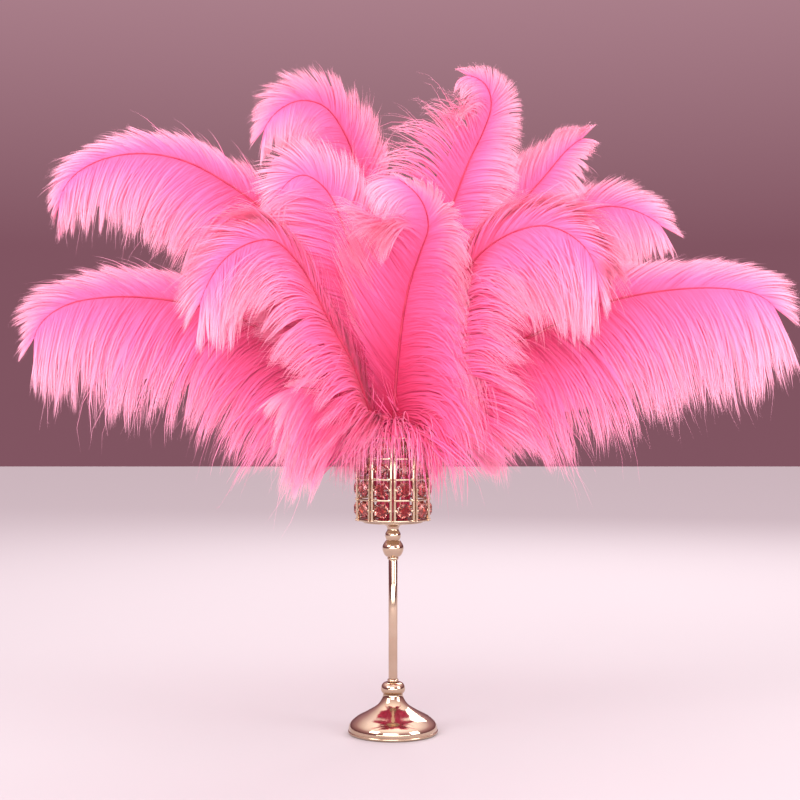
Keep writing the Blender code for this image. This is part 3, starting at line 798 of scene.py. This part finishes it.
def gathered(points, lock, strength):
    """Draws every barb toward the middle of its lock, more so toward the tips."""
    count, stations, _ = points.shape
    locks = lock[-1] + 1
    sizes = np.bincount(lock, minlength=locks)[:, None, None]
    flat = points.reshape(count, -1)
    sums = [np.bincount(lock, flat[:, place], minlength=locks) for place in range(stations * 3)]
    centres = np.stack(sums, axis=1).reshape(locks, -1, 3) / sizes
    closing = strength[:, None] * (np.arange(stations) / (stations - 1)) ** GATHER_POWER
    return points + closing[:, :, None] * (centres[lock] - points)


def vane_barbs(shaft, side, droop, longest, rounding, count, looseness, gathering, random):
    """Points of every barb of one vane (barb, step, xyz), normals of the sheet, growth and thickness."""
    distance = shaft[3]
    growth = np.sort(random.uniform(0, 1, count)) ** TIP_CROWDING
    lock = np.cumsum(random.uniform(0, 1, count) < 1 / LOCK_SIZE)
    locks = lock[-1] + 1

    def noise(lock_size, barb_size):
        return random.normal(0, lock_size, locks)[lock] + random.normal(0, barb_size, count)

    stray = (random.uniform(0, 1, count) < looseness) * 1.0
    fluff = np.exp(-growth / FLUFF_LENGTH)
    vane_rise = side * np.interp(growth, (0, 1), shaft[2][[FIRST_VANE_POINT, -1], 2])
    raised = np.clip(vane_rise - max(droop), 0, 1)
    unevenness = 1 - RAISED_EVENNESS * raised
    length = longest * barb_share(growth, *rounding) * (1 + noise(*LENGTH_NOISE) * unevenness)
    length = length * (1 + stray * random.uniform(*STRAY_LENGTH, count) * unevenness)
    quirks = {
        "angle": noise(*ANGLE_NOISE) + stray * random.normal(*STRAY_ANGLE, count) * unevenness,
        "lean": noise(*LEAN_NOISE) + stray * random.normal(0, STRAY_LEAN, count)
        + fluff * random.normal(0, FLUFF_LEAN, count),
        "softness": noise(*SOFTNESS_NOISE) - STRAY_STIFFNESS * stray,
        "sway": noise(*SWAY_NOISE),
        "ripple": RIPPLE * random.uniform(*RIPPLE_SPREAD, locks)[lock] * (1 + stray),
        "phase": random.uniform(0, 2 * math.pi, locks)[lock] + random.normal(0, PHASE_NOISE, count),
        "fluff": fluff,
        "hold": (1 - STRAY_HOLD * stray) * (1 - fluff),
    }
    where = VANE_START + (distance[-1] - VANE_START) * growth
    points, sheet, front = bent_barbs(shaft, where, side, droop, length, quirks)
    points = points + (front * random.normal(0, VANE_DEPTH, count)[:, None])[:, None, :]
    strength = gathering * random.uniform(*GATHER_SPREAD, locks)[lock] * (1 - RAISED_SMOOTHNESS * raised)
    points = gathered(points, lock, np.minimum(MOST_GATHERED, strength) * (1 - stray))
    return kept_in_box(points), sheet, growth, 1 - STRAY_THINNING * stray


print("steps in a barb:", BARB_STEPS, "barbs in a lock:", LOCK_SIZE)

# %% [markdown]
# Seen through the outer barbs lie many more, too deep to tell apart. A smooth sheet in the middle of
# each vane stands for them. It follows the same bending rule, ends short of the fringe and sinks a
# little behind the barbs, so its own edge stays hidden.

# %% The sheet inside a vane
SHEET_STATIONS = 150
SHEET_START = 0.03
SHEET_END = 0.985
SHEET_RAGGEDNESS = (0.86, 1.0)
SHEET_REACH = 0.72
OWN_SHEET_REACH = {("top", -1): 0.3, ("front", -1): 0.15, ("left_front", 1): 0.4, ("left_front", -1): 0.4,
                   ("left_low", 1): 0.4, ("left_low", -1): 0.4}
SHEET_SINK = 2.5 * MM
# How far from the shaft a barb's tip lies on the UV map.
UV_REACH = 0.49


def vane_sheet(shaft, side, droop, longest, rounding, sheet_reach, random):
    """Vertices, quads, no triangles, and UVs of the sheet."""
    distance = shaft[3]
    growth = np.linspace(SHEET_START, SHEET_END, SHEET_STATIONS)
    length = longest * barb_share(growth, *rounding)
    share_of_length = sheet_reach * random.uniform(*SHEET_RAGGEDNESS, SHEET_STATIONS)
    where = VANE_START + (distance[-1] - VANE_START) * growth
    points, _, front = bent_barbs(shaft, where, side, droop, length, even_barbs(SHEET_STATIONS))
    behind = front * np.sign(front[:, 1:2])
    stations = np.linspace(0, 1, BARB_STEPS + 1)
    reach = share_of_length[:, None] * stations[None, :] * BARB_STEPS
    left = np.minimum(reach.astype(int), BARB_STEPS - 1)
    part = (reach - left)[:, :, None]
    row = np.arange(SHEET_STATIONS)[:, None]
    points = kept_in_box(points[row, left] * (1 - part) + points[row, left + 1] * part)
    points = points + behind[:, None, :] * (SHEET_SINK * reach / BARB_STEPS)[:, :, None]
    width = BARB_STEPS + 1
    corner = (np.arange(SHEET_STATIONS - 1)[:, None] * width + np.arange(BARB_STEPS)[None, :]).ravel()
    quads = np.stack([corner, corner + 1, corner + width + 1, corner + width], axis=1)
    outward = 0.5 + side * UV_REACH * reach / BARB_STEPS
    uv = np.stack([np.repeat(growth[:, None], width, axis=1), outward], axis=2)
    return points.reshape(-1, 3), quads, np.zeros((0, 3), int), uv.reshape(-1, 2)


print("sheet reach as a share of the barbs:", SHEET_REACH)

# %% [markdown]
# The lowest barbs of a plume are loose down. They stand out all round the quill, fall over the cup's
# rim and hide the place where the quills stand together.

# %% Down at the base
BASE_BARBS = 170
BASE_ROOTS = (82 * MM, 100 * MM)
BASE_LENGTH = (32 * MM, 78 * MM)
BASE_SOFTNESS = (2.6, 4.4)
BASE_GROWTH = (0.3, 0.7)
BASE_JITTER = 8 * MM
BASE_SCATTER = 0.35
BASE_RISE = 0.25
BASE_CURL = 0.05
BASE_SHEET_RISE = 0.3


def base_barbs(shaft, random):
    """Points of the loose barbs round the quill, normals of their ribbons, and growth."""
    path, _, _, distance = shaft
    where = random.uniform(*BASE_ROOTS, BASE_BARBS)
    root = sample(path, distance, where)
    outward = unit(root * (1, 1, 0) + random.normal(0, BASE_JITTER, (BASE_BARBS, 3)) * (1, 1, 0))
    heading = unit(outward + random.normal(0, BASE_SCATTER, (BASE_BARBS, 3)) + (0, 0, BASE_RISE))
    length = random.uniform(*BASE_LENGTH, BASE_BARBS)
    softness = random.uniform(*BASE_SOFTNESS, BASE_BARBS)
    points = [root]
    for step in range(BARB_STEPS):
        share = (step + 0.5) / BARB_STEPS
        turned = np.array((0.0, 0.0, -1.0)) + heading[:, 2:] * heading
        bend = (softness * (BEND_AT_ROOT + BEND_GROWTH * share) / BARB_STEPS)[:, None]
        heading = unit(heading + bend * turned + random.normal(0, BASE_CURL, (BASE_BARBS, 3)))
        points.append(points[-1] + heading * (length / BARB_STEPS)[:, None])
    points = np.stack(points, axis=1)
    sheet = np.repeat(outward[:, None, :] + (0, 0, BASE_SHEET_RISE), BARB_STEPS + 1, axis=1)
    return points, unit(sheet), random.uniform(*BASE_GROWTH, BASE_BARBS)


print("loose barbs at the base of a plume:", BASE_BARBS)

# %% [markdown]
# A barb becomes a ribbon: two edges that run along it and meet in a point. Every ribbon is turned a
# random amount round its own length, so no two catch the light alike, and it narrows to its tip.
# The UV map named OFBake runs along the shaft in one direction and out along the barb in the other,
# which lets the dye, and the painted shade deep in the bunch, be laid on by how far out a barb has grown.

# %% Ribbons
BARB_WIDTH = 1.6 * MM
# The width's share at places along the barb, from root to tip.
WIDTH_PLACES = (0, 0.14, 0.45, 0.7, 0.86, 1)
WIDTH_SHARES = (0.35, 0.9, 1.0, 0.45, 0.2, 0.06)
WIDTH_SPREAD = (0.7, 1.3)
RIBBON_TWIST = 0.1


def ribbons(points, sheet, growth, side, thickness, random):
    """Vertices, faces and UVs of tapering ribbons along the barbs."""
    count, stations, _ = points.shape
    along = unit(np.gradient(points, axis=1))
    flat = unit(np.cross(sheet, along))
    twist = random.normal(0, RIBBON_TWIST, count)[:, None, None]
    wide = flat * np.cos(twist) + np.cross(along, flat) * np.sin(twist)
    outness = np.arange(stations) / (stations - 1)
    width = BARB_WIDTH * np.interp(outness, WIDTH_PLACES, WIDTH_SHARES)
    width = width[None, :] * (thickness * random.uniform(*WIDTH_SPREAD, count))[:, None]
    left = points - wide * width[:, :, None] / 2
    right = points + wide * width[:, :, None] / 2
    pairs = np.stack([left[:, :-1], right[:, :-1]], axis=2).reshape(count, -1, 3)
    vertices = np.concatenate([pairs, points[:, -1:]], axis=1)
    outward = np.concatenate([np.repeat(outness[:-1], 2), [1.0]])
    uv = np.stack([np.repeat(growth[:, None], len(outward), axis=1),
                   np.repeat(0.5 + side * UV_REACH * outward[None, :], count, axis=0)], axis=2)
    quads = [(2 * k, 2 * k + 1, 2 * k + 3, 2 * k + 2) for k in range(stations - 2)]
    last = 2 * (stations - 2)
    base = (np.arange(count) * vertices.shape[1])[:, None, None]
    quads = (np.array(quads)[None] + base).reshape(-1, 4)
    tips = (np.array([(last, last + 1, last + 2)])[None] + base).reshape(-1, 3)
    return vertices.reshape(-1, 3), quads, tips, uv.reshape(-1, 2)


def shaft_tube(shaft, sides=8, rings=70):
    """Vertices, faces and UVs of the tapering shaft."""
    path, along_path, across_path, distance = shaft
    where = np.linspace(0, distance[-1], rings)
    centre = sample(path, distance, where)
    across = unit(sample(across_path, distance, where))
    front = np.cross(unit(sample(along_path, distance, where)), across)
    share = where / distance[-1]
    radius = shaft_radius(share)
    angle = np.arange(sides) * 2 * math.pi / sides
    rim = (across[:, None] * np.cos(angle)[None, :, None] + front[:, None] * np.sin(angle)[None, :, None])
    vertices = (centre[:, None] + rim * radius[:, None, None]).reshape(-1, 3)
    uv = np.stack([np.repeat(share, sides), np.full(rings * sides, 0.5)], axis=1)
    return vertices, np.array(ring_faces(rings, sides)), np.zeros((0, 3), int), uv


print("barb width in mm:", BARB_WIDTH / MM)

# %% [markdown]
# Around every barb stand shorter, much finer barbules. They are too many to model one by one, but a
# scatter of single hair-thin triangles along the barbs, denser toward the tips, gives the vane its
# down.

# %% Down
DOWN_LENGTH = 4.5 * MM
DOWN_WIDTH = 0.22 * MM
DOWN_SPREAD = (0.5, 1.2)
DOWN_FORWARD = 0.7
DOWN_START = 0.1
DOWN_POWER = 0.7


def down_hairs(points, growth, side, count, random):
    """Vertices, no quads, triangles and UVs of single hairs scattered along the barbs."""
    barb = random.integers(0, len(points), count)
    steps = points.shape[1] - 1
    place = random.uniform(DOWN_START, 1.0, count) ** DOWN_POWER * steps
    step = np.minimum(place.astype(int), steps - 1)
    share = (place - step)[:, None]
    start = points[barb, step] * (1 - share) + points[barb, step + 1] * share
    along = unit(points[barb, step + 1] - points[barb, step])
    aside = unit(np.cross(along, unit(random.normal(0, 1, (count, 3)))))
    length = DOWN_LENGTH * random.uniform(*DOWN_SPREAD, count)
    end = start + (along * DOWN_FORWARD + aside) * length[:, None]
    edge = unit(np.cross(along, aside)) * DOWN_WIDTH / 2
    vertices = np.stack([start - edge, start + edge, end], axis=1).reshape(-1, 3)
    tips = np.arange(3 * count).reshape(-1, 3)
    outward = 0.5 + side * UV_REACH * place / steps
    uv = np.repeat(np.stack([growth[barb], outward], axis=1), 3, axis=0)
    return vertices, np.zeros((0, 4), int), tips, uv


def mesh_of(name, parts):
    """One mesh from parts of (vertices, quads, triangles, uv, material index)."""
    vertices = np.concatenate([part[0] for part in parts])
    uv = np.concatenate([part[3] for part in parts])
    starts = np.cumsum([0] + [len(part[0]) for part in parts[:-1]])
    quads = np.concatenate([part[1] + start for part, start in zip(parts, starts)])
    tips = np.concatenate([part[2] + start for part, start in zip(parts, starts)])
    material = np.concatenate([np.full(len(part[1]), part[4]) for part in parts]
                              + [np.full(len(part[2]), part[4]) for part in parts])
    corners = np.concatenate([quads.ravel(), tips.ravel()]).astype(np.int32)
    sizes = np.concatenate([np.full(len(quads), 4), np.full(len(tips), 3)])
    mesh = bpy.data.meshes.new(name)
    mesh.vertices.add(len(vertices))
    mesh.vertices.foreach_set("co", vertices.astype(np.float32).ravel())
    mesh.loops.add(len(corners))
    mesh.loops.foreach_set("vertex_index", corners)
    mesh.polygons.add(len(sizes))
    mesh.polygons.foreach_set("loop_start", (np.cumsum(sizes) - sizes).astype(np.int32))
    mesh.polygons.foreach_set("material_index", material.astype(np.int32))
    mesh.update(calc_edges=True)
    mesh.shade_smooth()
    layer = mesh.uv_layers.new(name="OFBake")
    layer.data.foreach_set("uv", uv[corners].astype(np.float32).ravel())
    return mesh


print("down length in mm:", DOWN_LENGTH / MM)

# %% [markdown]
# ## Dye and painted shade
# White plumes take the dye unevenly: deep at the roots of the barbs, paler toward the tips where the
# down is thin, and a little different from barb to barb. The deep end is darker than dye alone: it is
# also painted shade for the dense inside of the bunch, near the barbs' roots and the plumes' bases.
# The colour therefore follows the UV map, and a fine noise along the shaft changes it from one barb
# to the next. Sheen stands in for the light that the finest down scatters toward the eye.

# %% Dye, painted shade and shaft materials
# Place on the ramp, from the deepest to the palest, and the colour there: dye, with painted shade in the
# deep end.
DYE_AND_SHADE_STOPS = ((0.0, (0.58, 0.003, 0.065)), (0.45, (1.0, 0.142, 0.38)), (1.0, (1.0, 0.43, 0.59)))
# Paler along the shaft and out along the barb; the deep part toward the bunch's middle is painted shade as
# well as dye.
PALER_ALONG = 0.4
PALER_AT_THE_TIP = 0.05
TIP_POWER = 4.0
PALER_IN_THE_FRINGE = 1.3
FRINGE_POWER = 2.0
STREAKS = 400.0
STREAK_STRENGTH = 0.2
SHEEN = 0.25
SHEEN_ROUGHNESS = 0.5
SHEEN_TINT = (1.0, 0.7, 0.85)
SHAFT_SHADES = ((0.44, 0.025, 0.08), (0.62, 0.06, 0.13))
SHAFT_ROUGHNESS = (0.5, 0.7)
SHAFT_GLOSS = 0.25


def math_node(material, operation, first, second):
    """A Math node fed by sockets or plain numbers."""
    nodes, links = nodes_of(material)
    node = nodes.new("ShaderNodeMath")
    node.operation = operation
    for slot, value in enumerate((first, second)):
        if isinstance(value, (int, float)):
            node.inputs[slot].default_value = value
        else:
            links.new(value, node.inputs[slot])
    return node.outputs["Value"]


def make_dye_and_shade():
    dyed_and_shaded = plain_material("plume_dye_and_shade", (0.95, 0.3, 0.55), 0.85)
    nodes, links = nodes_of(dyed_and_shaded)
    shader = nodes["Principled BSDF"]
    uv = nodes.new("ShaderNodeUVMap")
    uv.uv_map = "OFBake"
    split = nodes.new("ShaderNodeSeparateXYZ")
    links.new(uv.outputs["UV"], split.inputs["Vector"])
    along, sideways = split.outputs["X"], split.outputs["Y"]
    outward = math_node(dyed_and_shaded, "ABSOLUTE", math_node(dyed_and_shaded, "SUBTRACT", sideways, 0.5), 0.0)
    noise = nodes.new("ShaderNodeTexNoise")
    noise.noise_dimensions = "1D"
    noise.inputs["Scale"].default_value = STREAKS
    links.new(along, noise.inputs["W"])
    centred = math_node(dyed_and_shaded, "SUBTRACT", noise.outputs["Fac"], 0.5)
    streak = math_node(dyed_and_shaded, "MULTIPLY", centred, STREAK_STRENGTH)
    tipness = math_node(dyed_and_shaded, "MULTIPLY", math_node(dyed_and_shaded, "POWER", along, TIP_POWER), PALER_AT_THE_TIP)
    fringe = math_node(dyed_and_shaded, "MULTIPLY", math_node(dyed_and_shaded, "POWER", outward, FRINGE_POWER), PALER_IN_THE_FRINGE)
    paleness = math_node(dyed_and_shaded, "ADD", math_node(dyed_and_shaded, "MULTIPLY", along, PALER_ALONG), outward)
    paleness = math_node(dyed_and_shaded, "ADD", paleness, math_node(dyed_and_shaded, "ADD", tipness, fringe))
    paleness = math_node(dyed_and_shaded, "ADD", paleness, streak)
    # Deep end of this ramp: dye plus painted shade of the bunch's dense inside.
    ramp = nodes.new("ShaderNodeValToRGB")
    ramp.color_ramp.elements.new(0.5)
    for element, (place, colour) in zip(ramp.color_ramp.elements, DYE_AND_SHADE_STOPS):
        element.position = place
        element.color = (*colour, 1.0)
    links.new(paleness, ramp.inputs["Fac"])
    links.new(ramp.outputs["Color"], shader.inputs["Base Color"])
    shader.inputs["Sheen Weight"].default_value = SHEEN
    shader.inputs["Sheen Roughness"].default_value = SHEEN_ROUGHNESS
    shader.inputs["Sheen Tint"].default_value = (*SHEEN_TINT, 1.0)
    return dyed_and_shaded


def make_horn():
    horn = plain_material("shaft_horn", (0.36, 0.05, 0.07), 0.45)
    nodes, links = nodes_of(horn)
    shader = nodes["Principled BSDF"]
    tint = mix_colours(horn, noise_range(horn, 90, 0, 1, detail=5), *SHAFT_SHADES)
    links.new(tint, shader.inputs["Base Color"])
    links.new(noise_range(horn, 140, *SHAFT_ROUGHNESS), shader.inputs["Roughness"])
    shader.inputs["Specular IOR Level"].default_value = SHAFT_GLOSS
    return horn


plume_dye_and_shade = make_dye_and_shade()
shaft_horn = make_horn()
print("dye nodes:", len(plume_dye_and_shade.node_tree.nodes))

# %% [markdown]
# ## The bunch
# Every plume is one mesh: shaft, two vanes and down. The seed comes from the plume's place in the
# list, so each plume is different and the same on every run.

# %% Plumes
BARBS_PER_METRE = 4450
BARBS_PER_METRE_AT_THE_BACK = 2500
FEWEST_BARBS = 1000
DOWN_PER_BARB = 1.3
BASE_DOWN_PER_BARB = 3
BASE_THICKNESS = 0.7
WISPY_THINNING = 3
WISPY_GATHER = 1.5
FIRST_SEED = 100


def grow_plume(index, row):
    """Makes one plume and returns its number of triangles. Part material 0 is the shaft, 1 the dye with its
    painted shade.
    """
    name, ring, azimuth, points, base_across, tip_across, first, second, tip_share = row
    random = np.random.default_rng(FIRST_SEED + index)
    shaft = shaft_of(ring, azimuth, points, base_across, tip_across)
    parts = [shaft_tube(shaft) + (0,)]
    density = BARBS_PER_METRE_AT_THE_BACK if name.startswith("back") else BARBS_PER_METRE
    count = max(int(density * (shaft[3][-1] - VANE_START)), FEWEST_BARBS)
    for side, longest in ((1, first * MM), (-1, second * MM)):
        looseness = LOOSE_VANES.get((name, side), LOOSENESS)
        droop = DROOPING_VANES.get((name, side), (0, 0))
        rounding = OWN_ROUNDING.get((name, side), (tip_share, ROUNDING_START))
        reach = OWN_SHEET_REACH.get((name, side), SHEET_REACH)
        wispy = (name, side) in WISPY_VANES
        gathering = WISPY_GATHER if wispy else GATHER
        barb_count = count // WISPY_THINNING if wispy else count
        barbs, sheet, growth, thickness = vane_barbs(
            shaft, side, droop, longest, rounding, barb_count, looseness, gathering, random)
        parts.append(vane_sheet(shaft, side, droop, longest, rounding, reach, random) + (1,))
        parts.append(ribbons(barbs, sheet, growth, side, thickness, random) + (1,))
        parts.append(down_hairs(barbs, growth, side, int(count * DOWN_PER_BARB), random) + (1,))
    barbs, sheet, growth = base_barbs(shaft, random)
    parts.append(ribbons(barbs, sheet, growth, 1, np.full(len(barbs), BASE_THICKNESS), random) + (1,))
    parts.append(down_hairs(barbs, growth, 1, BASE_DOWN_PER_BARB * len(barbs), random) + (1,))
    mesh = mesh_of(name, parts)
    mesh.materials.append(shaft_horn)
    mesh.materials.append(plume_dye_and_shade)
    piece = link(bpy.data.objects.new(f"feather_{name}", mesh))
    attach(piece, "root")
    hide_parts(f"plume_{name}")
    return sum(len(polygon.vertices) - 2 for polygon in mesh.polygons)


triangles = [grow_plume(index, row) for index, row in enumerate(PLUMES)]
print("plumes grown:", len(triangles))
print("triangles in the largest:", max(triangles), "in all:", sum(triangles))

# %% [markdown]
# ## Size
# The finished pieces are meant to stay in the frame's box, apart from the little that soft down may
# stand proud of it. Both boxes are printed.

# %% Sizes and finish
visual_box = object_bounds()
for label, box in (("frame", cad_box), ("visual", visual_box)):
    print(label, [[round(value, 3) for value in corner] for corner in box])
